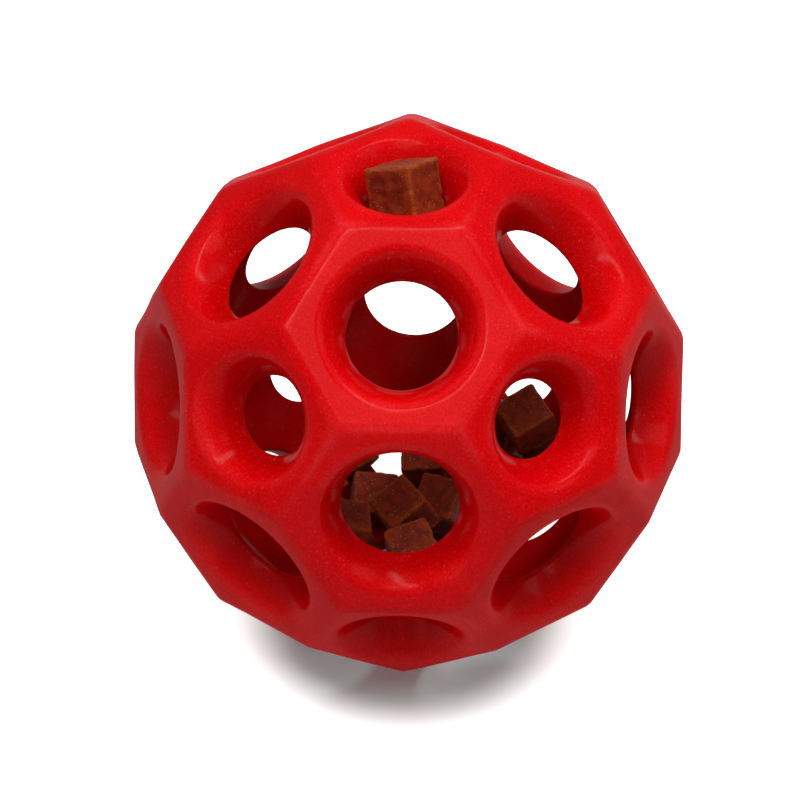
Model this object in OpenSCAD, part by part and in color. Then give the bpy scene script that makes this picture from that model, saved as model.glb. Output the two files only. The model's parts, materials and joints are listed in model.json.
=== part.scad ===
// Treat dispensing ball: a hollow moulded rubber ball with a hole in each of its 32 faces,
// loaded with cube treats. The ball stands on one five-sided face, +Z is up, and the origin
// lies at the middle of that face. A six-sided face of the upper ring looks towards -Y.

/* [Ball] */
// Width over opposite corners of the moulded form, before its ridges are rounded
ball_d = 120; // [115:1:140]
// Radius that rounds the ridges and corners between the faces
ridge_r = 5; // [3:0.5:6]
// Thickness of the rubber at the middle of a five-sided face
wall_t = 8.4; // [7.6:0.1:9]
// Number of flats that make up the round of a ridge
ridge_steps = 3; // [2:1:4]

/* [Holes] */
// Radius of the mouth in each six-sided face
hex_mouth_r = 16.2; // [15:0.1:17]
// Radius of the throat that the same hole narrows to at the cavity
hex_throat_r = 11; // [10:0.1:12]
// Radius of the mouth in each five-sided face
pent_mouth_r = 13.4; // [12.5:0.1:14]
// Radius of the throat that the same hole narrows to at the cavity
pent_throat_r = 7.9; // [7.5:0.1:8.5]
// Radius of the round that bulges into a hole between its mouth and its throat
lip_r = 22.4; // [18:0.2:30]

/* [Treats] */
// Side of a treat in the heap
treat_w = 10; // [8:0.5:10.5]
// Radius of a treat's edges
treat_edge_r = 1; // [0.5:0.1:1.5]
// Gap between a treat and what it lies on
seat_gap = 0.3; // [0.2:0.05:0.5]
// Angle by which the whole heap has slid round the cavity towards -Y
heap_tilt = 5; // [0:0.5:15]
// Side of the treat that stands in the top hole
top_treat_w = 11.4; // [9.5:0.1:12]
// Angle by which that treat leans back
top_lean = 28; // [0:1:30]

/* [Hidden] */
$fn = 96;
// Golden ratio, which sets every angle of the form
phi = (1 + sqrt(5)) / 2;
// How far each cut runs past the surface that it opens
overrun = 1;

// How the treat in the top hole is turned and tipped sideways, how far its middle lies beside the
// middle of the hole in shares of its width, and its gap from the hole's round
top_spin = -32.5;
top_tip = 9;
top_shares = [-0.02, 0.065];
top_gap = 0.2;

// Lengths of the form: its ridge, its reach at a corner, and the height of each kind of face
ridge_l = ball_d / sqrt(1 + 9 * pow(phi, 2));
ball_r = ball_d / 2;
pent_h = sqrt(pow(ball_r, 2) - pow(ridge_l / (2 * sin(36)), 2));
hex_h = sqrt(pow(ball_r, 2) - pow(ridge_l, 2));
cavity_r = pent_h - wall_t;

// Directions of the twelve five-sided faces: a pole, two rings of five and a pole
pent_lat = atan(1 / 2);
pent_turn = 360 / 5;
function direction(lat, turn) = [cos(lat) * cos(turn), cos(lat) * sin(turn), sin(lat)];
pent_axes = concat(
    [[0, 0, 1]],
    [for (k = [0:4]) direction(pent_lat, pent_turn * (k + 1 / 2) - 90)],
    [for (k = [0:4]) direction(-pent_lat, pent_turn * k - 90)],
    [[0, 0, -1]]
);

function unit(v) = v / norm(v);
function beside(a, b) = a != b && a * b > 0;

// Directions of the twenty six-sided faces: each lies among three five-sided ones
hex_axes = [
    for (i = [0:11]) for (j = [i + 1:11]) for (k = [j + 1:11])
        let (a = pent_axes[i], b = pent_axes[j], c = pent_axes[k])
            if (beside(a, b) && beside(b, c) && beside(a, c)) unit(a + b + c)
];

// The three faces that meet at each of the sixty corners, in turn: a five-sided face and, on
// either side of the ridge towards its neighbour, two six-sided ones
corners = [
    for (p = pent_axes) for (q = pent_axes)
        if (beside(p, q))
            let (sides = [for (r = pent_axes) if (beside(p, r) && beside(q, r)) r],
                 turned = cross(p, q) * sides[0] > 0)
                [p, unit(p + q + sides[turned ? 1 : 0]), unit(p + q + sides[turned ? 0 : 1])]
];

// The point at which three planes meet, from their normals and their distances from the origin
function meeting(n, d) =
    (d[0] * cross(n[1], n[2]) + d[1] * cross(n[2], n[0]) + d[2] * cross(n[0], n[1]))
    / (n[0] * cross(n[1], n[2]));

// The middle of a corner's round, then the points over it, in rows from one direction to the others
function corner_points(n) =
    let (middle = meeting(n, [pent_h - ridge_r, hex_h - ridge_r, hex_h - ridge_r]))
        concat([middle],
            [for (i = [0:ridge_steps]) for (j = [0:ridge_steps - i])
                middle + ridge_r * unit((ridge_steps - i - j) * n[0] + i * n[1] + j * n[2])]);

// Faces of a corner's round, closed by triangles that run to its middle
function at(i, j) = 1 + i * (ridge_steps + 1) - i * (i - 1) / 2 + j;
corner_faces = concat(
    [for (i = [0:ridge_steps - 1]) for (j = [0:ridge_steps - i - 1]) [at(i, j), at(i, j + 1), at(i + 1, j)]],
    [for (i = [0:ridge_steps - 2]) for (j = [0:ridge_steps - i - 2])
        [at(i, j + 1), at(i + 1, j + 1), at(i + 1, j)]],
    [for (k = [0:ridge_steps - 1]) [at(0, k + 1), at(0, k), 0]],
    [for (k = [0:ridge_steps - 1]) [at(k, 0), at(k + 1, 0), 0]],
    [for (k = [0:ridge_steps - 1]) [at(k + 1, ridge_steps - k - 1), at(k, ridge_steps - k), 0]]
);

// The moulded form before it is hollowed, about its own middle
module outer_form() {
    hull()
        for (n = corners)
            polyhedron(points = corner_points(n), faces = corner_faces);
}

// Turns what stands on +Z to stand on a direction from the middle of the ball
module stand_on(axis) {
    rotate([0, acos(axis.z), atan2(axis.y, axis.x)])
        children();
}

// Height at which a throat meets the cavity, and the middle of the round that joins it to its mouth
function throat_h(throat_r) = sqrt(pow(cavity_r, 2) - pow(throat_r, 2));
function lip_middle(face_h, mouth_r, throat_r) =
    let (run = [mouth_r - throat_r, face_h - throat_h(throat_r)])
        [throat_r, throat_h(throat_r)] + run / 2
        + [run.y, -run.x] * sqrt(pow(lip_r / norm(run), 2) - pow(1 / 2, 2));

// What one hole removes: all that lies inside its round, from the cavity out past the face
module hole_cut(face_h, mouth_r, throat_r) {
    middle = lip_middle(face_h, mouth_r, throat_r);
    floor_h = throat_h(throat_r) - overrun;
    rotate_extrude()
        difference() {
            translate([0, floor_h])
                square([middle.x, face_h + overrun - floor_h]);
            translate(middle)
                circle(r = lip_r);
        }
}

module ball_shell() {
    color("red")
        translate([0, 0, pent_h])
            difference() {
                outer_form();
                sphere(r = cavity_r);
                for (axis = pent_axes)
                    stand_on(axis)
                        hole_cut(pent_h, pent_mouth_r, pent_throat_r);
                for (axis = hex_axes)
                    stand_on(axis)
                        hole_cut(hex_h, hex_mouth_r, hex_throat_r);
            }
}

// A square bar along +Z with rounded edges
module treat_bar(w) {
    linear_extrude(w, center = true)
        union() {
            square([w, w - 2 * treat_edge_r], center = true);
            square([w - 2 * treat_edge_r, w], center = true);
            for (x = [-1, 1]) for (y = [-1, 1])
                translate([x, y] * (w / 2 - treat_edge_r))
                    circle(r = treat_edge_r);
        }
}

// One treat about its own middle: a cube whose edges are all rounded
module treat(w) {
    intersection() {
        treat_bar(w);
        rotate([90, 0, 0])
            treat_bar(w);
        rotate([0, 90, 0])
            treat_bar(w);
    }
}

// The heap. Each row gives a treat's layer, the way to it from the pole in treats, the turn about
// the pole, and the treat's own spin, lean and direction of lean in degrees
heap_shares = [
    [0, 1.20, -90, 4, 0, 0],
    [0, 1.30, -36, -20, 0, 0],
    [0, 1.28, 55, 2, 0, 0],
    [0, 1.40, 122, 12, 19, -131],
    [0, 1.20, 198, 3, 0, 0],
    [0, 2.30, 38, 5, 0, 0],
    [0, 2.30, 75, -4, 0, 0],
    [0, 2.30, 150, -8, 0, 0],
    [0, 2.50, 123, 8, 0, 0],
    [0, 3.10, 16, 50, 0, 0],
    [0, 3.30, 44, -5, 0, 0],
    [0, 3.30, 69, 3, 0, 0],
    [0, 2.95, 101, 12, 0, 0],
    [1, 1.67, 17, 20, 0, 0],
    [1, 1.28, 77, 12, 0, 0],
    [0.7, 1.54, 222, 20, 24, 129],
    [0.75, 0.63, 21, -18, 21, -28],
    [1, 2.38, 52, 0, 0, 0]
];

// The treats that lie free on top of the heap. Each row gives the number of the treat that carries
// one, the way from that treat's middle in treats, and the direction of lean, lean and spin in
// degrees, all from that treat's own stance.
loose_shares = [
    [1, [0.9, 0.11, 0.91], 80, 40, 26],
    [16, [1.27, 0.42, 0.53], -67, 45, 9],
    [18, [0.34, -1.24, 0.22], 64, 27, -2]
];

function heap_name(i) = str("treat_", i + 1);
function loose_name(i) = str("loose_treat_", i + 1);

// Half the reach of a treat's corner along each side, after its edges are rounded
function corner_reach(w) = w / 2 - treat_edge_r * (1 - 1 / sqrt(2));

// Distance from the middle of the ball at which a treat's lowest corner meets a sphere
function seat_distance(w, spin, lean, sphere_r) =
    let (c = corner_reach(w))
        min([for (x = [-c, c]) for (y = [-c, c]) for (z = [-c, c])
            let (up = (x * sin(spin) + y * cos(spin)) * sin(lean) + z * cos(lean))
                up + sqrt(pow(up, 2) - 3 * pow(c, 2) + pow(sphere_r, 2))]);

// Thickness of a layer, the radius of the sphere on which one lies, and the angle that a treat takes
layer_t = cavity_r - seat_distance(treat_w, 0, 0, cavity_r - seat_gap) + treat_w / 2;
function layer_r(k) = cavity_r - seat_gap - k * layer_t;
function layer_pitch(k) = 2 * atan((treat_w + seat_gap) / 2 / layer_r(round(k) + 1));

// Takes what stands about the origin to the stance of one treat of the heap
module heap_stance(i) {
    row = heap_shares[i];
    layer = row[0];
    spin = row[3];
    lean = row[4];
    translate([0, 0, pent_h])
        rotate([-heap_tilt, 0, 0])
            rotate([0, -row[1] * layer_pitch(layer), row[2]])
                translate([0, 0, -seat_distance(treat_w, spin, lean, layer_r(layer))])
                    rotate([0, 0, row[5]])
                        rotate([lean, 0, 0])
                            rotate([0, 0, spin])
                                children();
}

module heap_treat(i) {
    color("saddlebrown")
        heap_stance(i)
            treat(treat_w);
}

module loose_treat(i) {
    row = loose_shares[i];
    color("sienna")
        heap_stance(row[0] - 1)
            translate(row[1] * treat_w)
                rotate([0, 0, row[2]])
                    rotate([row[3], 0, 0])
                        rotate([0, 0, row[4]])
                            treat(treat_w);
}

// The treat that stands in the top hole, and the way from its middle to each of its corners' rounds
function spun(v, turn) = [v.x * cos(turn) - v.y * sin(turn), v.x * sin(turn) + v.y * cos(turn), v.z];
function leant(v, turn) = [v.x, v.y * cos(turn) + v.z * sin(turn), v.z * cos(turn) - v.y * sin(turn)];
function tipped(v, turn) = [v.x * cos(turn) - v.z * sin(turn), v.y, v.x * sin(turn) + v.z * cos(turn)];
top_corners = [
    for (x = [-1, 1]) for (y = [-1, 1]) for (z = [-1, 1])
        leant(tipped(spun([x, y, z] * (top_treat_w / 2 - treat_edge_r), top_spin), top_tip), top_lean)
];

// Height of its middle at which the first of those corners meets the round of the hole
top_lip = lip_middle(pent_h, pent_mouth_r, pent_throat_r);
function meeting_h(p) =
    let (room = top_lip.x - norm(top_shares * top_treat_w + [p.x, p.y]))
        top_lip.y - p.z + sqrt(max(pow(lip_r + treat_edge_r + top_gap, 2) - pow(room, 2), 0));
top_h = max([for (p = top_corners) meeting_h(p)]);

module top_treat() {
    color("peru")
        translate([0, 0, pent_h + top_h] + [top_shares.x, top_shares.y, 0] * top_treat_w)
            rotate([-top_lean, 0, 0])
                rotate([0, -top_tip, 0])
                    rotate([0, 0, top_spin])
                        treat(top_treat_w);
}

ball_shell();
top_treat();
for (i = [0:len(heap_shares) - 1])
    heap_treat(i);
for (i = [0:len(loose_shares) - 1])
    loose_treat(i);
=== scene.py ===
"""Dresses the treat dispensing ball: a moulded rubber ball with 32 flared holes and its load of treats."""
import json
import logging
import math
from dataclasses import dataclass, field
from enum import Enum

import bpy
import numpy as np
from mathutils import Matrix, Vector


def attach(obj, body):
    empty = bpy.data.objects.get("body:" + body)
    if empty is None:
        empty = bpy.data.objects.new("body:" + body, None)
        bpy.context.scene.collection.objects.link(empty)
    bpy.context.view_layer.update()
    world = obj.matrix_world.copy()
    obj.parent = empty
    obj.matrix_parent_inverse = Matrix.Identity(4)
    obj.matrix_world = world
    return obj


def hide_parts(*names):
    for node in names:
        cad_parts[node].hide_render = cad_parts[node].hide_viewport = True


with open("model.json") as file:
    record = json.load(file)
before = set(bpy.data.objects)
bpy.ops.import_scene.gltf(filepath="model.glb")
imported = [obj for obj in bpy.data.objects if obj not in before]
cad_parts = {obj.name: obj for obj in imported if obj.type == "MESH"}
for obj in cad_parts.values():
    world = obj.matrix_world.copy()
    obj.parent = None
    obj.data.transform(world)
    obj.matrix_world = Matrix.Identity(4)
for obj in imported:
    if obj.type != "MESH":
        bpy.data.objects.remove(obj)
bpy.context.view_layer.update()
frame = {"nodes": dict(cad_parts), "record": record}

LOG = logging.getLogger("treat_ball")
MM = 0.001
WELD = 1e-7  # points nearer than this, in metres, are welded to one
TOUCH = 1e-9  # a corner nearer than this to the plane of a face, in metres, lies on it
SAME_WAY = 0.99  # cosine over which two directions count as one
SQUARE = 0.01  # cosine under which two directions count as square to each other
Colour = tuple[float, float, float, float]
Span = tuple[float, float]


def grey(level: float) -> Colour:
    """A grey with the same level of red, green and blue."""
    return (level, level, level, 1.0)


def unit(v: np.ndarray) -> np.ndarray:
    """Scales vectors along the last axis to length one."""
    return v / np.linalg.norm(v, axis=-1, keepdims=True)


def ease(x: np.ndarray) -> np.ndarray:
    """Smooth step from 0 to 1: 3x^2 - 2x^3 on x clipped to 0..1."""
    x = np.clip(x, 0.0, 1.0)
    return x * x * (3.0 - 2.0 * x)


def bend(start: np.ndarray, knee: np.ndarray, end: np.ndarray, count: int) -> np.ndarray:
    """Quadratic curve (1-t)^2 start + 2t(1-t) knee + t^2 end.

    Args:
        start: First point.
        knee: The point that the curve leans towards.
        end: Last point.
        count: Number of points, both ends included.

    Returns:
        The points, one a row.
    """
    t = np.linspace(0.0, 1.0, count)[:, None]
    return (1 - t) ** 2 * start + 2 * t * (1 - t) * knee + t**2 * end


@dataclass(frozen=True)
class Swell:
    """A smooth uneven field: a sum of plane waves of random direction, phase and length.

    Attributes:
        seed: Seed of the random waves.
        longest: Longest wave in metres.
        shortest: Shortest wave in metres.
        waves: Number of waves.
    """

    seed: int
    longest: float
    shortest: float
    waves: int = 28

    def at(self, points: np.ndarray) -> np.ndarray:
        """Field value at each point, of about unit spread.

        Args:
            points: Places, one a row.

        Returns:
            One value for each place: the sum of sin(k . p + phase) over the waves, scaled.
        """
        rng = np.random.default_rng(self.seed)
        heading = unit(rng.normal(size=(self.waves, 3)))
        length = np.exp(rng.uniform(math.log(self.shortest), math.log(self.longest), self.waves))
        phase = rng.uniform(0.0, 2.0 * math.pi, self.waves)
        k = heading * (2.0 * math.pi / length)[:, None]
        return np.sin(points @ k.T + phase).sum(axis=1) * math.sqrt(2.0 / self.waves)


def stand(name: str, data: bpy.types.ID) -> bpy.types.Object:
    """Puts new data in the scene as an object at the origin, and returns the object."""
    made = bpy.data.objects.new(name, data)
    bpy.context.scene.collection.objects.link(made)
    return made


def make_piece(
    name: str,
    points: np.ndarray,
    quads: np.ndarray,
    material: bpy.types.Material,
    marks: dict[str, np.ndarray] | None = None,
) -> bpy.types.Object:
    """Welds a mesh's shared edges, turns it outwards and makes it a smooth object at the origin.

    The signed volume is the sum of a . (b x c) / 6 over the triangles; where it is negative, every
    face is turned round.

    Args:
        name: Name of the piece.
        points: Vertices in metres, one a row.
        quads: Four vertex numbers a row.
        material: What the piece is made of.
        marks: Values for each vertex, by the name of their attribute.

    Returns:
        The new object.
    """
    _, first, same = np.unique(np.round(points / WELD).astype(np.int64), axis=0,
                               return_index=True, return_inverse=True)
    same = same.reshape(-1)
    co, faces = points[first], same[quads]
    a, b, c, d = (co[faces[:, i]] for i in range(4))
    volume = (np.einsum("ij,ij->i", a, np.cross(b, c)) + np.einsum("ij,ij->i", a, np.cross(c, d))).sum() / 6
    if volume < 0:
        faces = faces[:, ::-1]
    mesh = bpy.data.meshes.new(name)
    mesh.vertices.add(len(co))
    mesh.vertices.foreach_set("co", co.astype(np.float32).ravel())
    mesh.loops.add(faces.size)
    mesh.loops.foreach_set("vertex_index", faces.astype(np.int32).ravel())
    mesh.polygons.add(len(faces))
    mesh.polygons.foreach_set("loop_start", np.arange(0, faces.size, 4, dtype=np.int32))
    mesh.polygons.foreach_set("use_smooth", np.ones(len(faces), dtype=bool))
    for key, values in (marks or {}).items():
        mesh.attributes.new(key, "FLOAT", "POINT").data.foreach_set("value", values[first].astype(np.float32))
    mesh.update(calc_edges=True)
    mesh.validate()
    mesh.materials.append(material)
    return stand(name, mesh)


class Nodes:
    """A node tree with short calls to add and join its nodes."""

    def __init__(self, tree: bpy.types.NodeTree) -> None:
        """Takes the tree to be filled."""
        self.tree = tree

    def add(self, kind: str, inputs: dict | None = None, **settings) -> bpy.types.Node:
        """Adds one node.

        Args:
            kind: Blender's type of node, without its ShaderNode part.
            inputs: What feeds each input: a socket, or a value to set. Keys are names or numbers.
            settings: Properties of the node itself.

        Returns:
            The new node.
        """
        made = self.tree.nodes.new(kind if kind.startswith("NodeGroup") else "ShaderNode" + kind)
        for key, value in settings.items():
            setattr(made, key, value)
        self.feed(made, inputs or {})
        return made

    def feed(self, node: bpy.types.Node, inputs: dict) -> None:
        """Joins or sets inputs of a node.

        Args:
            node: The node.
            inputs: A socket to join or a value to set, by the name or number of the input.
        """
        for key, value in inputs.items():
            if isinstance(value, bpy.types.NodeSocket):
                self.tree.links.new(value, node.inputs[key])
            else:
                node.inputs[key].default_value = value

    def mark(self, name: str) -> bpy.types.NodeSocket:
        """Returns the socket of a value that the mesh carries at its vertices."""
        return self.add("Attribute", attribute_name=name).outputs["Fac"]

    def ramp(self, value: bpy.types.NodeSocket, low: float, high: float) -> bpy.types.NodeSocket:
        """Runs a value from 0 at low to 1 at high, smoothly, and returns the socket of the result."""
        made = self.add("MapRange", {"Value": value, "From Min": low, "From Max": high},
                        interpolation_type="SMOOTHSTEP")
        return made.outputs["Result"]

    def seen(self) -> bpy.types.NodeSocket:
        """Returns the socket that is 1 on what the camera sees, directly, in a gloss or through glass."""
        path = self.add("LightPath").outputs
        through = self.maths("MAXIMUM", path["Is Glossy Ray"], path["Is Transmission Ray"])
        return self.maths("MAXIMUM", path["Is Camera Ray"], through)

    def maths(self, kind: str, *values) -> bpy.types.NodeSocket:
        """Works out one sum of values or sockets, and returns the socket of the result."""
        return self.add("Math", dict(enumerate(values)), operation=kind).outputs[0]

    def blend(self, share, first, second, kind: str = "MIX") -> bpy.types.NodeSocket:
        """Mixes two colours by a share, and returns the socket of the result."""
        made = self.add("Mix", {0: share, 6: first, 7: second}, data_type="RGBA", blend_type=kind)
        return made.outputs[2]


def new_group(name: str, takes: dict[str, tuple[str, float]], gives: tuple[str, ...]) -> tuple:
    """Starts a node group with named inputs and outputs.

    Args:
        name: Name of the group.
        takes: Kind of socket and default of each input, by name.
        gives: Names of the value outputs.

    Returns:
        The group, its nodes, the node of its inputs and the node of its outputs.
    """
    tree = bpy.data.node_groups.new(name, "ShaderNodeTree")
    for key, (kind, default) in takes.items():
        socket = tree.interface.new_socket(key, in_out="INPUT", socket_type="NodeSocket" + kind)
        if kind == "Float":
            socket.default_value = default
    for key in gives:
        tree.interface.new_socket(key, in_out="OUTPUT", socket_type="NodeSocketFloat")
    sheet = Nodes(tree)
    return tree, sheet, sheet.add("NodeGroupInput"), sheet.add("NodeGroupOutput")


def grain_group() -> bpy.types.NodeTree:
    """Fine grain over slow blotches, both from noise on the given coordinates.

    Returns:
        A group that gives Fine and Blotch, each about 0 to 1.
    """
    takes = {"Vector": ("Vector", 0.0), "Fine scale": ("Float", 1500.0), "Blotch scale": ("Float", 60.0)}
    tree, sheet, given, out = new_group("grain", takes, ("Fine", "Blotch"))
    fine = sheet.add("TexNoise", {"Vector": given.outputs["Vector"], "Scale": given.outputs["Fine scale"],
                                  "Detail": 3.0, "Roughness": 0.6})
    blotch = sheet.add("TexNoise", {"Vector": given.outputs["Vector"], "Scale": given.outputs["Blotch scale"],
                                    "Detail": 4.0, "Roughness": 0.55, "Distortion": 0.4})
    tree.links.new(fine.outputs[0], out.inputs["Fine"])
    tree.links.new(blotch.outputs[0], out.inputs["Blotch"])
    return tree


def speck_group() -> bpy.types.NodeTree:
    """Scattered specks: near a cell's own point, and only in the share of cells that is asked for.

    Returns:
        A group that gives Mask, 1 on a speck.
    """
    takes = {"Vector": ("Vector", 0.0), "Scale": ("Float", 400.0), "Share": ("Float", 0.2),
             "Radius": ("Float", 0.3)}
    tree, sheet, given, out = new_group("specks", takes, ("Mask",))
    cells = sheet.add("TexVoronoi", {"Vector": given.outputs["Vector"], "Scale": given.outputs["Scale"]})
    lot = sheet.add("SeparateColor", {0: cells.outputs["Color"]}).outputs[0]
    chosen = sheet.maths("LESS_THAN", lot, given.outputs["Share"])
    near = sheet.add("MapRange", {"Value": cells.outputs["Distance"], "From Min": given.outputs["Radius"],
                                  "From Max": 0.0}).outputs["Result"]
    tree.links.new(sheet.maths("MULTIPLY", chosen, near), out.inputs["Mask"])
    return tree


def new_material(name: str) -> tuple[bpy.types.Material, Nodes, bpy.types.Node]:
    """Starts a material.

    Args:
        name: Name of the material.

    Returns:
        The material, its nodes and its shader.
    """
    material = bpy.data.materials.new(name)
    material.use_nodes = True
    return material, Nodes(material.node_tree), material.node_tree.nodes["Principled BSDF"]


@dataclass(frozen=True)
class Rubber:
    """Red moulded rubber with a satin skin, a fine grain, soft blotches, light scuffs carrying a painted
    sheen on the ridges, and painted shade down in the holes.

    A span is the pair of values between which a look sets in smoothly.

    Attributes:
        red: Body colour.
        deep: Colour of the darker blotches.
        inside: Colour of the rubber down in the holes and in the cavity: painted shade, darker than the body.
        dust_and_sheen: Colour of scuffs and dust, and of the painted sheen on the ridges and mouth edges.
        pit: Colour of the fine pits of the grain.
        red_span: Blotch values from the deep colour to the red one.
        hole_shade_span: Depths from the body colour to the inside one, the painted shade of the holes.
        wear_and_sheen_span: Blotch values over which the scuffs and their painted sheen set in.
        pit_span: Grain values over which the pits set in.
        bloom_span: Grain values over which the pale dots set in.
        wear_and_sheen: How far the ridges and mouth edges are paled, as scuffs with a painted sheen.
        pitting: How strongly the pits show.
        bloom: How strongly the grain shows as fine pale dots.
        dusting: How strongly the dust shows.
        fine_scale: Fineness of the grain.
        blotch_scale: Fineness of the blotches.
        dust_scale: Fineness of the cells that may hold a speck of dust.
        dust_share: Share of those cells that hold one.
        dust_radius: Radius of a speck, in widths of its cell.
        roughness: Middle roughness of the skin.
        rough_spread: How much the roughness varies with the blotches.
        grain_depth: Depth of the moulded grain in metres.
        grain_strength: How strongly the grain turns the light.
        blotch_height: Height of the blotches, in heights of the grain.
        gloss: Weight of the thin glossy coat.
        gloss_blur: Roughness of that coat.
    """

    red: Colour = (0.78, 0.0006, 0.0012, 1.0)
    deep: Colour = (0.68, 0.0004, 0.0020, 1.0)
    inside: Colour = (0.54, 0.0002, 0.0006, 1.0)
    dust_and_sheen: Colour = (0.85, 0.10, 0.12, 1.0)
    pit: Colour = (0.34, 0.0, 0.001, 1.0)
    red_span: Span = (0.35, 0.68)
    hole_shade_span: Span = (0.05, 0.75)
    wear_and_sheen_span: Span = (0.42, 0.75)
    pit_span: Span = (0.58, 0.36)
    bloom_span: Span = (0.50, 0.68)
    wear_and_sheen: float = 0.20
    pitting: float = 0.25
    bloom: float = 0.08
    dusting: float = 0.35
    fine_scale: float = 2300.0
    blotch_scale: float = 48.0
    dust_scale: float = 1100.0
    dust_share: float = 0.12
    dust_radius: float = 0.30
    roughness: float = 0.38
    rough_spread: float = 0.16
    grain_depth: float = 0.028 * MM
    grain_strength: float = 0.5
    blotch_height: float = 1.5
    gloss: float = 0.08
    gloss_blur: float = 0.16

    def make(self, grain: bpy.types.NodeTree, specks: bpy.types.NodeTree) -> bpy.types.Material:
        """Builds the material.

        Args:
            grain: The shared grain group.
            specks: The shared speck group.

        Returns:
            The material.
        """
        material, sheet, skin = new_material("moulded_rubber")
        place = sheet.add("TexCoord").outputs["Object"]
        noise = sheet.add("Group", {"Vector": place, "Fine scale": self.fine_scale,
                                    "Blotch scale": self.blotch_scale}, node_tree=grain).outputs
        fine, blotch = noise["Fine"], noise["Blotch"]
        dust = sheet.add("Group", {"Vector": place, "Scale": self.dust_scale, "Share": self.dust_share,
                                   "Radius": self.dust_radius}, node_tree=specks).outputs["Mask"]
        body = sheet.blend(sheet.ramp(blotch, *self.red_span), self.deep, self.red)
        # Painted shade: the body darkens with depth down the holes and over the cavity, where less light
        # reaches.
        body = sheet.blend(sheet.ramp(sheet.mark("depth"), *self.hole_shade_span), body, self.inside)
        # Paler ridges and mouth edges: partly scuffs, partly a painted sheen where the rounded edges catch
        # the light.
        wear_and_sheen_share = sheet.maths("MULTIPLY", sheet.mark("ridge"), sheet.ramp(blotch, *self.wear_and_sheen_span))
        body = sheet.blend(sheet.maths("MULTIPLY", wear_and_sheen_share, self.wear_and_sheen), body, self.dust_and_sheen)
        pits = sheet.ramp(fine, *self.pit_span)
        body = sheet.blend(sheet.maths("MULTIPLY", pits, self.pitting), body, self.pit)
        pale = sheet.ramp(fine, *self.bloom_span)
        body = sheet.blend(sheet.maths("MULTIPLY", pale, self.bloom), body, self.dust_and_sheen)
        body = sheet.blend(sheet.maths("MULTIPLY", dust, self.dusting), body, self.dust_and_sheen)
        low = self.roughness - self.rough_spread / 2
        height = sheet.maths("ADD", fine, sheet.maths("MULTIPLY", blotch, self.blotch_height))
        bump = sheet.add("Bump", {"Height": height, "Strength": self.grain_strength,
                                  "Distance": self.grain_depth})
        sheet.feed(skin, {
            "Base Color": body,
            "Roughness": sheet.maths("MULTIPLY_ADD", blotch, self.rough_spread, low),
            "Normal": bump.outputs[0],
            "Specular IOR Level": 0.0,
            "Coat Weight": self.gloss,
            "Coat Roughness": self.gloss_blur,
        })
        return material


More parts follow.
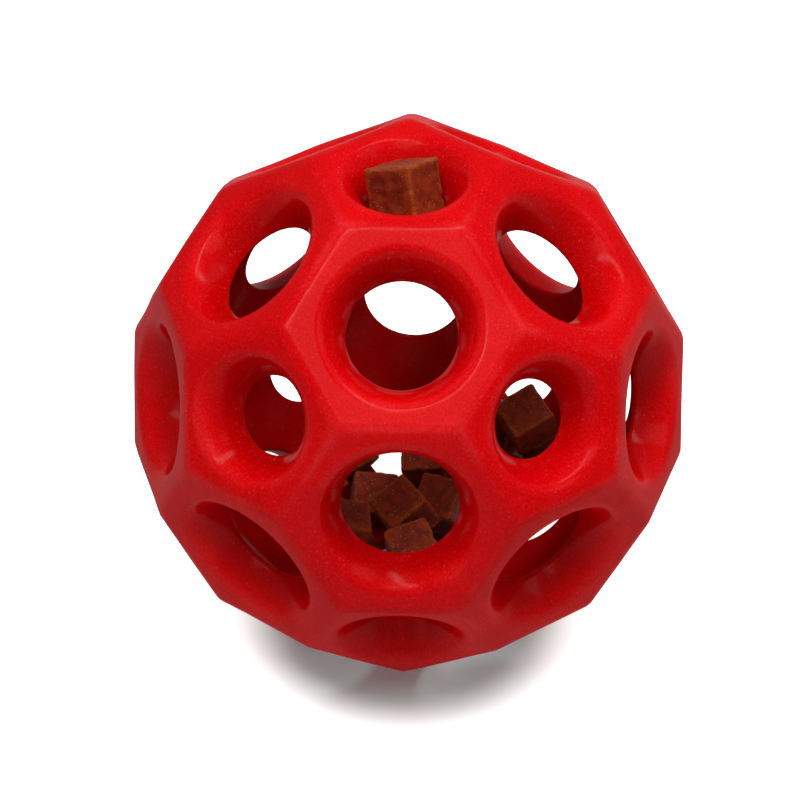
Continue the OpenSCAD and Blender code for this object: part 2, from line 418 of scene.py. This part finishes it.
@dataclass(frozen=True)
class Treat:
    """Baked brown treat: granular, with paler edges, dark crumbs and a few pale flakes; the paler edges are
    rubbed crumb with a painted highlight along them.

    A span is the pair of values between which a look sets in smoothly.

    Attributes:
        brown: Colour of the sides.
        dark: Colour of its crumbs and of the printed dots.
        edge: Colour of the paler edges: rubbed crumb with a painted highlight.
        flake: Colour of the pale flakes.
        brown_span: Crumb values from the dark colour to the brown one.
        ragged_span: Meal values over which the paler edges set in.
        wear_and_sheen: How strongly the paler edges show, rubbed and with a painted highlight.
        dot_shade: How strongly the printed dots are darkened.
        flaking: How strongly the flakes show.
        fine_scale: Fineness of the meal.
        blotch_scale: Fineness of the crumbs.
        flake_scale: Fineness of the cells that may hold a flake.
        flake_share: Share of those cells that hold one.
        flake_radius: Radius of a flake, in widths of its cell.
        roughness: Least roughness of the crust.
        rough_spread: How much the roughness varies with the meal.
        crust_depth: Depth of the crust's unevenness in metres.
        crust_strength: How strongly it turns the light.
        shine: Specular level of the crust.
        glow: Weight of the light that runs under the crust.
        glow_depth: How far that light runs, in metres.
        glow_reach: The shares of that depth that red, green and blue reach.
    """

    brown: Colour = (0.26, 0.027, 0.005, 1.0)
    dark: Colour = (0.15, 0.012, 0.003, 1.0)
    edge: Colour = (0.54, 0.125, 0.010, 1.0)
    flake: Colour = (0.85, 0.60, 0.40, 1.0)
    brown_span: Span = (0.30, 0.62)
    ragged_span: Span = (0.3, 0.7)
    wear_and_sheen: float = 0.5
    dot_shade: float = 0.55
    flaking: float = 0.6
    fine_scale: float = 2600.0
    blotch_scale: float = 420.0
    flake_scale: float = 1900.0
    flake_share: float = 0.30
    flake_radius: float = 0.26
    roughness: float = 0.48
    rough_spread: float = 0.25
    crust_depth: float = 0.18 * MM
    crust_strength: float = 0.6
    shine: float = 0.12
    glow: float = 0.35
    glow_depth: float = 1.5 * MM
    glow_reach: tuple[float, float, float] = (1.0, 0.30, 0.05)

    def make(self, grain: bpy.types.NodeTree, specks: bpy.types.NodeTree) -> bpy.types.Material:
        """Builds the material.

        Args:
            grain: The shared grain group.
            specks: The shared speck group.

        Returns:
            The material.
        """
        material, sheet, crust = new_material("baked_treat")
        place = sheet.add("TexCoord").outputs["Object"]
        noise = sheet.add("Group", {"Vector": place, "Fine scale": self.fine_scale,
                                    "Blotch scale": self.blotch_scale}, node_tree=grain).outputs
        meal, crumbs = noise["Fine"], noise["Blotch"]
        flakes = sheet.add("Group", {"Vector": place, "Scale": self.flake_scale, "Share": self.flake_share,
                                     "Radius": self.flake_radius}, node_tree=specks).outputs["Mask"]
        body = sheet.blend(sheet.ramp(crumbs, *self.brown_span), self.dark, self.brown)
        # Paler edges: rubbed crumb, with a painted highlight along every edge.
        wear_and_sheen_share = sheet.maths("MULTIPLY", sheet.mark("edge"), self.wear_and_sheen)
        ragged = sheet.maths("MULTIPLY", wear_and_sheen_share, sheet.ramp(meal, *self.ragged_span))
        body = sheet.blend(ragged, body, self.edge)
        body = sheet.blend(sheet.maths("MULTIPLY", sheet.mark("hollow"), self.dot_shade), body, self.dark)
        body = sheet.blend(sheet.maths("MULTIPLY", flakes, self.flaking), body, self.flake)
        bump = sheet.add("Bump", {"Height": sheet.maths("ADD", meal, crumbs),
                                  "Strength": self.crust_strength, "Distance": self.crust_depth})
        sheet.feed(crust, {
            "Base Color": body,
            "Roughness": sheet.maths("MULTIPLY_ADD", meal, self.rough_spread, self.roughness),
            "Normal": bump.outputs[0],
            "Specular IOR Level": self.shine,
            "Subsurface Weight": self.glow,
            "Subsurface Radius": self.glow_reach,
            "Subsurface Scale": self.glow_depth,
        })
        return material


class Sides(Enum):
    """Number of sides of a face of the ball."""

    FIVE = 5
    SIX = 6


@dataclass
class HoleLook:
    """How one hole differs from the rest.

    Attributes:
        azimuth: Turn of the face about +Z in degrees.
        elevation: Height of the face's axis over the horizon in degrees.
        mouth: How much wider its mouth is, in metres of radius.
        throat: How much wider its throat is, in metres of radius.
    """

    azimuth: float
    elevation: float
    mouth: float = 0.0
    throat: float = 0.0


@dataclass
class MouldedBall:
    """The one-piece rubber ball: a truncated icosahedron with rounded ridges and 32 flared holes.

    Attributes:
        across: Width over opposite sharp corners.
        ridge_round: Radius of the rounded ridges and corners.
        wall: Thickness in the middle of a five-sided face.
        mouth: Mouth radius of a hole, by the sides of its face.
        throat: Throat radius of a hole, by the sides of its face.
        lip_round: Radius of the round that bulges into a hole between its mouth and its throat.
        mouth_round: Reach of the soft edge between the face and that round.
        inner_round: Reach of the soft edge between the throat and the cavity.
        shrink: How far the whole skin lies inside the nominal form.
        uneven: Depth of the skin's slow unevenness, beyond that.
        uneven_waves: Longest and shortest wave of that unevenness.
        uneven_seed: Seed of that unevenness.
        steps: Grid steps along each ridge.
        flat_rings: Places of the rings on a flat, from its ridge at 0 towards its hole at 1.
        lip_steps: Points along the round of a hole.
        soft_steps: Points along each soft edge.
        cavity_rings: Rings of a face over the cavity.
        walks: Steps that a ray takes to the rounded form.
        wear_and_sheen_from: Where on a flat its scuffs and painted sheen start, from its hole at 0 to its
            ridge at 1.
        lip_wear_and_sheen: How pale the edge of a mouth is, next to a ridge at 1: scuffs with a painted
            highlight.
        looks: Holes that differ.
    """

    across: float = 120 * MM
    ridge_round: float = 5 * MM
    wall: float = 8.4 * MM
    mouth: dict[Sides, float] = field(default_factory=lambda: {Sides.SIX: 16.2 * MM, Sides.FIVE: 13.4 * MM})
    throat: dict[Sides, float] = field(default_factory=lambda: {Sides.SIX: 11.0 * MM, Sides.FIVE: 7.9 * MM})
    lip_round: float = 22.4 * MM
    mouth_round: float = 1.5 * MM
    inner_round: float = 0.9 * MM
    shrink: float = 0.03 * MM
    uneven: float = 0.07 * MM
    uneven_waves: Span = (60 * MM, 16 * MM)
    uneven_seed: int = 11
    steps: int = 10
    flat_rings: tuple[float, ...] = (0.0, 0.04, 0.09, 0.14, 0.2, 0.28, 0.38, 0.52, 0.7, 0.88)
    lip_steps: int = 15
    soft_steps: int = 6
    cavity_rings: int = 5
    walks: int = 14
    wear_and_sheen_from: float = 0.55
    lip_wear_and_sheen: float = 0.5
    looks: list[HoleLook] = field(default_factory=list)

    def __post_init__(self) -> None:
        """Works out the form: face heights, axes, sharp corners and the centres of their rounds."""
        golden = (1 + math.sqrt(5)) / 2
        self.ridge = self.across / math.sqrt(1 + 9 * golden**2)
        half = self.across / 2
        self.height = {
            Sides.FIVE: math.sqrt(half**2 - (self.ridge / (2 * math.sin(math.radians(36)))) ** 2),
            Sides.SIX: math.sqrt(half**2 - self.ridge**2),
        }
        self.cavity = self.height[Sides.FIVE] - self.wall
        # The five-sided faces point up, down and along two rings of five, half a step apart
        lat, turn = math.atan(0.5), np.radians(72 * np.arange(5))
        ring = [
            np.stack([np.cos(e) * np.cos(turn + a), np.cos(e) * np.sin(turn + a), np.full(5, np.sin(e))], 1)
            for e, a in ((lat, math.radians(36 - 90)), (-lat, math.radians(-90)))
        ]
        self.five_axes = np.concatenate([[[0, 0, 1]], *ring, [[0, 0, -1]]])
        dots = self.five_axes @ self.five_axes.T
        near = (dots > 0) & (dots < SAME_WAY)
        i, j = np.nonzero(near)
        self.corners = half * unit(2 * self.five_axes[i] + self.five_axes[j])
        i, j, k = np.nonzero(near[:, :, None] & near[:, None, :] & near[None, :, :])
        kept = (i < j) & (j < k)
        self.six_axes = unit(self.five_axes[i] + self.five_axes[j] + self.five_axes[k])[kept]
        axes = np.concatenate([self.five_axes, self.six_axes])
        counts = [len(self.five_axes), len(self.six_axes)]
        heights = np.repeat([self.height[Sides.FIVE], self.height[Sides.SIX]], counts)
        touching = np.abs(self.corners @ axes.T - heights) < TOUCH
        three = np.nonzero(touching)[1].reshape(-1, 3)
        self.rounds = np.linalg.solve(axes[three], (heights[three] - self.ridge_round)[..., None])[..., 0]

    def hits(self, rays: np.ndarray, axis: np.ndarray, height: float, core: np.ndarray) -> np.ndarray:
        """Where rays from the middle of the ball meet its rounded form.

        Near one face, the form is every point at the ridge radius from the flat polygon that joins the
        centres of its corner rounds. Each ray starts on the plane of the face and walks inwards by its
        distance from that polygon less the radius until it stands on the form.

        Args:
            rays: Unit directions, one a row.
            axis: Unit normal of the face.
            height: Distance of the face from the middle.
            core: Corners of that polygon, in order round the axis.

        Returns:
            The points, one a row.
        """
        u = unit(core[0] - axis * (core[0] @ axis))
        w = np.cross(axis, u)
        flat = np.stack([core @ u, core @ w], 1)
        side = np.roll(flat, -1, axis=0) - flat
        length = np.linalg.norm(side, axis=1)
        level = core[0] @ axis
        reach = height / (rays @ axis)
        for _ in range(self.walks):
            p = rays * reach[:, None]
            q = np.stack([p @ u, p @ w], 1)[:, None, :] - flat
            along = np.clip((q * side).sum(2) / length**2, 0.0, 1.0)
            off = np.linalg.norm(q - along[..., None] * side, axis=2).min(1)
            outside = (side[:, 0] * q[..., 1] - side[:, 1] * q[..., 0]).min(1) < 0
            far = np.hypot(np.where(outside, off, 0.0), p @ axis - level)
            reach = reach - (far - self.ridge_round)
        return rays * reach[:, None]

    def profile(self, height: float, mouth: float, throat: float) -> np.ndarray:
        """Half section of a hole, from the flat of its face in to the wall of the cavity.

        The round is an arc from the mouth's edge to the throat's. Its middle stands off the middle of
        the chord, square to it, by sqrt(radius^2 - (chord / 2)^2). Short curves soften both its ends.

        Args:
            height: Distance of the face from the middle.
            mouth: Radius of the mouth.
            throat: Radius of the throat.

        Returns:
            Distance from the axis and height along it, one pair a row.
        """
        outer = np.array([mouth, height])
        inner = np.array([throat, math.sqrt(self.cavity**2 - throat**2)])
        run = outer - inner
        chord = math.hypot(*run)
        off = math.sqrt(self.lip_round**2 - chord**2 / 4) / chord
        middle = (outer + inner) / 2 + off * np.array([run[1], -run[0]])
        first, last = (math.atan2(middle[0] - p[0], p[1] - middle[1]) for p in (outer, inner))
        first += self.mouth_round / self.lip_round
        last -= self.inner_round / self.lip_round
        angle = np.linspace(first, last, self.lip_steps)[:, None]
        lip = middle + self.lip_round * np.concatenate([-np.sin(angle), np.cos(angle)], 1)
        soft = bend(outer + [self.mouth_round, 0.0], outer, lip[0], self.soft_steps)
        foot = throat + self.inner_round
        end = np.array([foot, math.sqrt(self.cavity**2 - foot**2)])
        turn_in = bend(lip[-1], inner, end, self.soft_steps)
        return np.concatenate([soft[:-1], lip, turn_in[1:]])

    def tile(
        self, axis: np.ndarray, sides: Sides, look: HoleLook
    ) -> tuple[np.ndarray, np.ndarray, np.ndarray]:
        """One face with its hole and its share of the cavity, as a grid of rings round the axis.

        The rings run from the middle of the ridges over the flat, down the lip and the throat, and out
        over the cavity to the same ridges seen from inside.

        Args:
            axis: Unit normal of the face.
            sides: Its number of sides.
            look: How its hole differs.

        Returns:
            Points as rings x places x 3, and two marks of each point: nearness to a ridge, and depth.
        """
        height = self.height[sides]
        mine = np.abs(self.corners @ axis - height) < TOUCH
        corners, core = self.corners[mine], self.rounds[mine]
        u = unit(corners[0] - axis * height)
        w = np.cross(axis, u)
        order = np.argsort(np.arctan2(corners @ w, corners @ u))
        corners, core = corners[order], core[order]
        t = (np.arange(self.steps) / self.steps)[None, :, None]
        edge = (corners[:, None] * (1 - t) + np.roll(corners, -1, axis=0)[:, None] * t).reshape(-1, 3)
        spoke = unit(edge - axis * height)
        section = self.profile(height, self.mouth[sides] + look.mouth, self.throat[sides] + look.throat)
        rings = axis * section[:, 1, None, None] + spoke[None] * section[:, 0, None, None]
        share = 1 - np.array(self.flat_rings)
        over = rings[0] + (edge - rings[0]) * share[:, None, None]
        outer = self.hits(unit(over).reshape(-1, 3), axis, height, core).reshape(over.shape)
        inwards = np.linspace(0.0, 1.0, self.cavity_rings + 1)[1:, None, None]
        inner = self.cavity * unit(rings[-1] + (unit(edge) * self.cavity - rings[-1]) * inwards)
        points = np.concatenate([outer, rings, inner])
        # The ridge mark pales the flats near the ridges and the mouth edges: scuffs, with a painted sheen
        # where these rounded edges catch the light.
        ridge = np.zeros(points.shape[:2])
        ridge[: len(share)] = ease((share - self.wear_and_sheen_from) / (1 - self.wear_and_sheen_from))[:, None]
        soft = self.soft_steps - 1
        mouth_edge = ease(1 - np.abs(np.arange(2 * soft) - soft / 2) / soft)
        ridge[len(share): len(share) + 2 * soft] = mouth_edge[:, None] * self.lip_wear_and_sheen
        depth = np.clip((height - points @ axis) / (height - self.cavity), 0.0, 1.0)
        return points, ridge, depth

    def build(self, material: bpy.types.Material) -> bpy.types.Object:
        """Joins the 32 tiles into one closed skin.

        Args:
            material: The rubber.

        Returns:
            The ball, riding on its body in place of the plain shell.
        """
        lots = {Sides.FIVE: self.five_axes, Sides.SIX: self.six_axes}
        parts, quads, ridges, depths, count = [], [], [], [], 0
        for sides, axes in lots.items():
            for axis in axes:
                look = next((k for k in self.looks if self.faces(k, axis)), HoleLook(0.0, 0.0))
                points, ridge, depth = self.tile(axis, sides, look)
                rows, places = points.shape[:2]
                number = count + np.arange(rows * places).reshape(rows, places)
                turned = np.roll(number, -1, axis=1)
                quads.append(np.stack([number[:-1], number[1:], turned[1:], turned[:-1]], -1).reshape(-1, 4))
                parts.append(points.reshape(-1, 3))
                ridges.append(ridge.ravel())
                depths.append(depth.ravel())
                count += rows * places
        points = np.concatenate(parts)
        slow = Swell(self.uneven_seed, *self.uneven_waves).at(points) * self.uneven
        sunk = (self.shrink + np.abs(slow)) * (1 - np.concatenate(depths))
        points = points - unit(points) * sunk[:, None]
        points[:, 2] += self.height[Sides.FIVE]
        marks = {"ridge": np.concatenate(ridges), "depth": np.concatenate(depths)}
        ball = make_piece("moulded_ball", points, np.concatenate(quads), material, marks)
        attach(ball, "ball")
        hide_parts("ball_shell")
        LOG.info("ball: %d faces", len(ball.data.polygons))
        return ball

    @staticmethod
    def faces(look: HoleLook, axis: np.ndarray) -> bool:
        """Whether a look is meant for the face with this axis."""
        a, e = math.radians(look.azimuth), math.radians(look.elevation)
        wanted = np.array([math.cos(e) * math.cos(a), math.cos(e) * math.sin(a), math.sin(e)])
        return float(wanted @ axis) > SAME_WAY


@dataclass
class TreatLoad:
    """The treats: soft-edged cubes with hollow sides, a crumbly skin and dots printed on a side or two.

    Attributes:
        edge_round: Radius of the edges.
        steps: Grid steps along a side.
        crowding: How far the grid crowds towards the edges, up to 1.
        hollow: How far the middle of a side sinks in, as a share of the treat's width.
        hollow_spread: Least and most of that sinking on a side, as multiples of it.
        dot_rows: Places of the dots along a side that reaches from -1 to 1.
        dot_columns: Places of the dots across it.
        dot_reach: Distance at which a dot's dent ends, as a share of the treat's width.
        dot_steepness: How steep the dent is: over 1, it has a flat bottom.
        dot_depth: Depth of a dot in metres.
        edge_wear_and_sheen_span: Distance from the middle of a side, from 0 to 1, over which the edge mark
            sets in; it chips the edges and pales them with a painted highlight.
        lump_depth: Depth of the lumps in metres.
        lump_waves: Longest and shortest wave of the lumps.
        crumb_depth: Depth of the crumbs in metres.
        crumb_waves: Longest and shortest wave of the crumbs.
        chip_depth: Depth of the chips along the edges in metres.
        chip_waves: Longest and shortest wave of the chips.
    """

    edge_round: float = 0.75 * MM
    steps: int = 26
    crowding: float = 0.86
    hollow: float = 0.025
    hollow_spread: Span = (0.4, 1.3)
    dot_rows: tuple[float, ...] = (-0.42, 0.0, 0.42)
    dot_columns: tuple[float, ...] = (-0.3, 0.3)
    dot_reach: float = 0.14
    dot_steepness: float = 1.6
    dot_depth: float = 0.35 * MM
    edge_wear_and_sheen_span: Span = (0.74, 0.98)
    lump_depth: float = 0.09 * MM
    lump_waves: Span = (9 * MM, 3 * MM)
    crumb_depth: float = 0.03 * MM
    crumb_waves: Span = (1.8 * MM, 0.7 * MM)
    chip_depth: float = 0.16 * MM
    chip_waves: Span = (4 * MM, 1.4 * MM)

    @staticmethod
    def stance(node: str) -> tuple[np.ndarray, np.ndarray, float]:
        """Finds how a plain treat stands, from its own flat faces.

        The two largest triangles that are square to each other give two of its axes, and their cross
        product the third. Its middle and width come from its reach along them.

        Args:
            node: Name of the plain treat.

        Returns:
            Its axes as columns, its middle and its width.
        """
        mesh = frame["nodes"][node].data
        co = np.empty(len(mesh.vertices) * 3, dtype=np.float32)
        mesh.vertices.foreach_get("co", co)
        co = co.reshape(-1, 3).astype(float)
        mesh.calc_loop_triangles()
        tris = np.empty(len(mesh.loop_triangles) * 3, dtype=np.int32)
        mesh.loop_triangles.foreach_get("vertices", tris)
        tris = tris.reshape(-1, 3)
        cross = np.cross(co[tris[:, 1]] - co[tris[:, 0]], co[tris[:, 2]] - co[tris[:, 0]])
        area = np.linalg.norm(cross, axis=1)
        order = np.argsort(-area)
        normals = cross[order] / area[order, None]
        first = normals[0]
        second = normals[np.argmax(np.abs(normals @ first) < SQUARE)]
        second = unit(second - first * (second @ first))
        axes = np.stack([first, second, np.cross(first, second)], 1)
        local = co @ axes
        low, high = local.min(0), local.max(0)
        return axes, axes @ ((low + high) / 2), float((high - low).mean())

    def dots(self, x: np.ndarray, y: np.ndarray) -> np.ndarray:
        """How deep the printed dots lie at places on a side.

        Args:
            x: Places along the side, from -1 to 1.
            y: Places across it, from -1 to 1.

        Returns:
            A smooth step of the distance from the nearest dot, 1 at its bottom and 0 beyond its reach.
        """
        away = [np.hypot(x - a, y - b) / 2 for a in self.dot_rows for b in self.dot_columns]
        return ease(self.dot_steepness * (1 - np.min(away, axis=0) / self.dot_reach))

    def crumbled(self, points: np.ndarray, edge: np.ndarray, seed: int) -> np.ndarray:
        """Sinks the skin in by its lumps, its crumbs and, near its edges, its chips.

        Args:
            points: The smooth treat about its own middle, one point a row.
            edge: Nearness of each point to an edge.
            seed: Seed of the treat.

        Returns:
            The sunken points.
        """
        lumps = Swell(seed * 7 + 1, *self.lump_waves).at(points)
        crumbs = Swell(seed * 7 + 2, *self.crumb_waves, waves=60).at(points)
        chips = Swell(seed * 7 + 3, *self.chip_waves, waves=40).at(points)
        depth = np.abs(lumps) * self.lump_depth + np.abs(crumbs) * self.crumb_depth
        depth = depth + edge * np.maximum(chips, 0) * self.chip_depth
        return points - unit(points) * depth[:, None]

    def skin(self, width: float, seed: int) -> tuple[np.ndarray, np.ndarray, np.ndarray, np.ndarray]:
        """A treat about its own middle, as six grids.

        A point of the plain cube moves to the rounded one: q + r (p - q) / |p - q|, where q is p held
        inside the cube less the edge radius. The sides then sink in by (1 - x^2)(1 - y^2) and by their
        dots, and the whole skin by its crumbs.

        Args:
            width: Side of the treat.
            seed: Seed of its unevenness.

        Returns:
            Points, quads, nearness to an edge and depth of the dots.
        """
        rng = np.random.default_rng(seed)
        half = width / 2
        line = np.sin(np.linspace(-math.pi / 2, math.pi / 2, self.steps + 1) * self.crowding)
        line = line / line[-1]
        x, y = (g.ravel() for g in np.meshgrid(line, line, indexing="ij"))
        number = np.arange(len(x)).reshape(len(line), -1)
        corners = [number[:-1, :-1], number[1:, :-1], number[1:, 1:], number[:-1, 1:]]
        square = np.stack(corners, -1).reshape(-1, 4)
        wear_and_sheen_start, wear_and_sheen_end = self.edge_wear_and_sheen_span
        points, quads, edges, marks = [], [], [], []
        printed = {int(rng.integers(0, 6)), int(rng.integers(0, 6))}
        for face in range(6):
            axis, sign = divmod(face, 2)
            sign = 1 - 2 * sign
            p = np.zeros((len(x), 3))
            p[:, axis] = sign
            p[:, (axis + 1) % 3] = x * sign
            p[:, (axis + 2) % 3] = y
            p *= half
            q = np.clip(p, -(half - self.edge_round), half - self.edge_round)
            p = q + self.edge_round * unit(p - q)
            sink = self.hollow * width * rng.uniform(*self.hollow_spread) * ((1 - x**2) * (1 - y**2))
            mark = self.dots(x, y) if face in printed else np.zeros(len(x))
            p[:, axis] -= sign * (sink + mark * self.dot_depth)
            points.append(p)
            quads.append(square + face * len(x))
            reach = np.maximum(np.abs(x), np.abs(y))
            edges.append(ease((reach - wear_and_sheen_start) / (wear_and_sheen_end - wear_and_sheen_start)))
            marks.append(mark)
        edge = np.concatenate(edges)
        points = self.crumbled(np.concatenate(points), edge, seed)
        return points, np.concatenate(quads), edge, np.concatenate(marks)

    def build(self, material: bpy.types.Material) -> list[bpy.types.Object]:
        """Makes a detailed treat in the place of each plain one.

        Args:
            material: What the treats are made of.

        Returns:
            The treats, each riding on the body of the one it stands for.
        """
        made = []
        bodies = frame["record"]["behaviour"]["bodies"]
        home = {node: body for body, members in bodies.items() for node in members}
        for seed, node in enumerate(sorted(n for n in frame["nodes"] if "treat" in n), start=1):
            axes, middle, width = self.stance(node)
            points, quads, edge, dots = self.skin(width, seed)
            piece = make_piece("baked_" + node, points @ axes.T + middle, quads, material,
                               {"edge": edge, "hollow": dots})
            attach(piece, home[node])
            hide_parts(node)
            made.append(piece)
        LOG.info("treats: %d", len(made))
        return made


@dataclass(frozen=True)
class SoftBox:
    """One soft box over the object.

    Attributes:
        name: Name of the lamp.
        place: Where it hangs.
        size: Its width and height.
        power: Its power in watts.
    """

    name: str
    place: tuple[float, float, float]
    size: tuple[float, float]
    power: float


@dataclass
class Studio:
    """A plain pale floor, soft light mostly from above, and the camera.

    Attributes:
        eye: Place of the camera.
        dip: How steeply the camera looks down, in degrees.
        swing: How far its view is turned from +Y about +Z, in degrees.
        roll: How far its right side is tipped up, in degrees.
        lens: Focal length in millimetres.
        sensor: Width of its sensor in millimetres.
        clip: Nearest and farthest distance that it sees.
        tent: Strength of the tent's light on the object.
        floor_half: Half the width of the floor.
        floor_shade: How pale the floor is to the light that it throws back at the object.
        floor_lift: How much whiter the floor looks than it is lit, outside the contact shadow.
        contact_lift: How much whiter it looks than it is lit, inside the contact shadow.
        contact_tint: Its colour inside the contact shadow, a painted counter-tint that holds back the red
            light the object throws on it.
        contact_middle: Middle of the painted contact shadow.
        contact: Where the contact shadow starts and stops to clear, from its middle.
        aim: The point that the soft boxes face.
        boxes: The soft boxes.
    """

    eye: tuple[float, float, float] = (0.02014, -0.54526, 0.50183)
    dip: float = 39.388
    swing: float = 2.288
    roll: float = -0.67
    lens: float = 148.95
    sensor: float = 36.0
    clip: Span = (0.01, 20.0)
    tent: float = 0.08
    floor_half: float = 6.0
    floor_shade: float = 0.64
    floor_lift: float = 0.95
    contact_lift: float = 0.08
    contact_tint: Colour = (0.74, 1.0, 1.0, 1.0)
    contact_middle: tuple[float, float, float] = (0.0, -10 * MM, 0.0)
    contact: Span = (24 * MM, 41 * MM)
    aim: tuple[float, float, float] = (0.0, 0.0, 55 * MM)
    boxes: tuple[SoftBox, ...] = (
        SoftBox("top_strip", (0.05, -0.05, 1.1), (1.3, 0.15), 8.4),
        SoftBox("front_box", (0.0, -0.5, 0.95), (0.5, 0.5), 2.6),
        SoftBox("right_box", (0.65, -0.1, 0.8), (0.5, 0.5), 1.6),
        SoftBox("low_box", (-0.75, -0.8, 0.30), (0.6, 0.4), 0.6),
    )

    def camera(self) -> None:
        """Places the camera: its columns are right, up and back, which the three angles turn."""
        dip, swing, roll = np.radians((self.dip, self.swing, self.roll))
        level = Vector((math.cos(swing), math.sin(swing), 0.0))
        back = Vector((math.cos(dip) * math.sin(swing), -math.cos(dip) * math.cos(swing), math.sin(dip)))
        right = level * math.cos(roll) + back.cross(level) * math.sin(roll)
        turn = Matrix((right, back.cross(right), back)).transposed().to_4x4()
        data = bpy.data.cameras.new("camera")
        data.lens, data.sensor_width = self.lens, self.sensor
        data.clip_start, data.clip_end = self.clip
        eye = stand("camera", data)
        eye.matrix_world = Matrix.Translation(self.eye) @ turn
        bpy.context.scene.camera = eye

    def lamp(self, box: SoftBox) -> None:
        """Hangs one soft box, turned to the point of aim.

        Args:
            box: The soft box.
        """
        data = bpy.data.lights.new(box.name, "AREA")
        data.shape, data.energy = "RECTANGLE", box.power
        data.size, data.size_y = box.size
        lamp = stand(box.name, data)
        lamp.location = box.place
        lamp.rotation_euler = (Vector(self.aim) - Vector(box.place)).to_track_quat("-Z", "Y").to_euler()

    def surroundings(self) -> None:
        """Sets the world to the even light of a white tent, which the camera and glass see as pure white."""
        world = bpy.data.worlds.new("tent")
        bpy.context.scene.world = world
        world.use_nodes = True
        sheet = Nodes(world.node_tree)
        strength = sheet.add("Mix", {0: sheet.seen(), 2: self.tent, 3: 1.0}, data_type="FLOAT").outputs[0]
        sheet.feed(world.node_tree.nodes["Background"], {"Color": grey(1.0), "Strength": strength})

    def floor(self) -> None:
        """Lays a wide pale floor that looks white outside a painted contact shadow, a fixed ring round a
        point under the object.
        """
        mesh = bpy.data.meshes.new("floor")
        r = self.floor_half
        mesh.from_pydata([(-r, -r, 0), (r, -r, 0), (r, r, 0), (-r, r, 0)], [], [(0, 1, 2, 3)])
        paint, sheet, face = new_material("pale_floor")
        place = sheet.add("TexCoord").outputs["Object"]
        # Painted contact shadow: emission whitens the floor everywhere but inside a fixed ring round
        # contact_middle, where its real shading shows.
        off = sheet.add("VectorMath", {0: place, 1: self.contact_middle}, operation="DISTANCE")
        clear = sheet.ramp(off.outputs["Value"], *self.contact)
        tint = sheet.blend(clear, self.contact_tint, grey(1.0))
        lift = sheet.blend(clear, grey(self.contact_lift), grey(self.floor_lift))
        sheet.feed(face, {
            "Base Color": sheet.blend(sheet.seen(), grey(self.floor_shade), tint),
            "Emission Color": sheet.blend(sheet.seen(), grey(0.0), lift),
            "Emission Strength": 1.0,
            "Roughness": 0.9,
            "Specular IOR Level": 0.0,
        })
        mesh.materials.append(paint)
        floor = stand("floor", mesh)

    def build(self) -> None:
        """Sets up the camera, the floor and the light."""
        bpy.context.scene.view_settings.view_transform = "Standard"
        self.camera()
        self.floor()
        self.surroundings()
        for box in self.boxes:
            self.lamp(box)


def main() -> None:
    """Builds the ball, its load and the studio in turn."""
    logging.basicConfig(level=logging.INFO)
    grain, specks = grain_group(), speck_group()
    lower_front = HoleLook(azimuth=-90, elevation=10.81, mouth=0.4 * MM, throat=0.7 * MM)
    MouldedBall(looks=[lower_front]).build(Rubber().make(grain, specks))
    TreatLoad().build(Treat().make(grain, specks))
    Studio().build()


if __name__ == "__main__":
    main()
